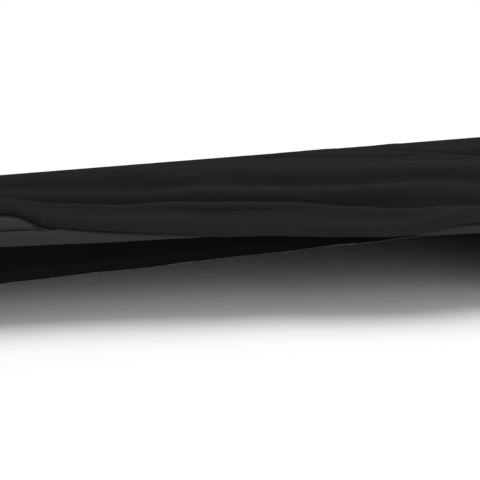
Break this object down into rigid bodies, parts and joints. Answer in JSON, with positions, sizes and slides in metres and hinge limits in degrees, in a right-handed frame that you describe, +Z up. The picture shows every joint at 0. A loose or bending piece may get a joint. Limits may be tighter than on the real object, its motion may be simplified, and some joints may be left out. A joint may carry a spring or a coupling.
{
  "type": "stretch dust cover for a full-size digital piano",
  "caption": "Thin black stretch dust cover, hollow underneath, fitted over the back and both ends of a long low body and drawn back off its front step in soft folds.",
  "frame": {"origin": "middle of the raised back panel of the body that the cover fits, just under the cloth", "axes": "+X along the length of the cover, +Y to its back, +Z up"},
  "size_m": [1.3276, 0.3004, 0.1242],
  "materials": {
    "black_jersey": "matt stretch jersey"
  },
  "bodies": {
    "root": {"cover": "black_jersey"}
  },
  "joints": []
}
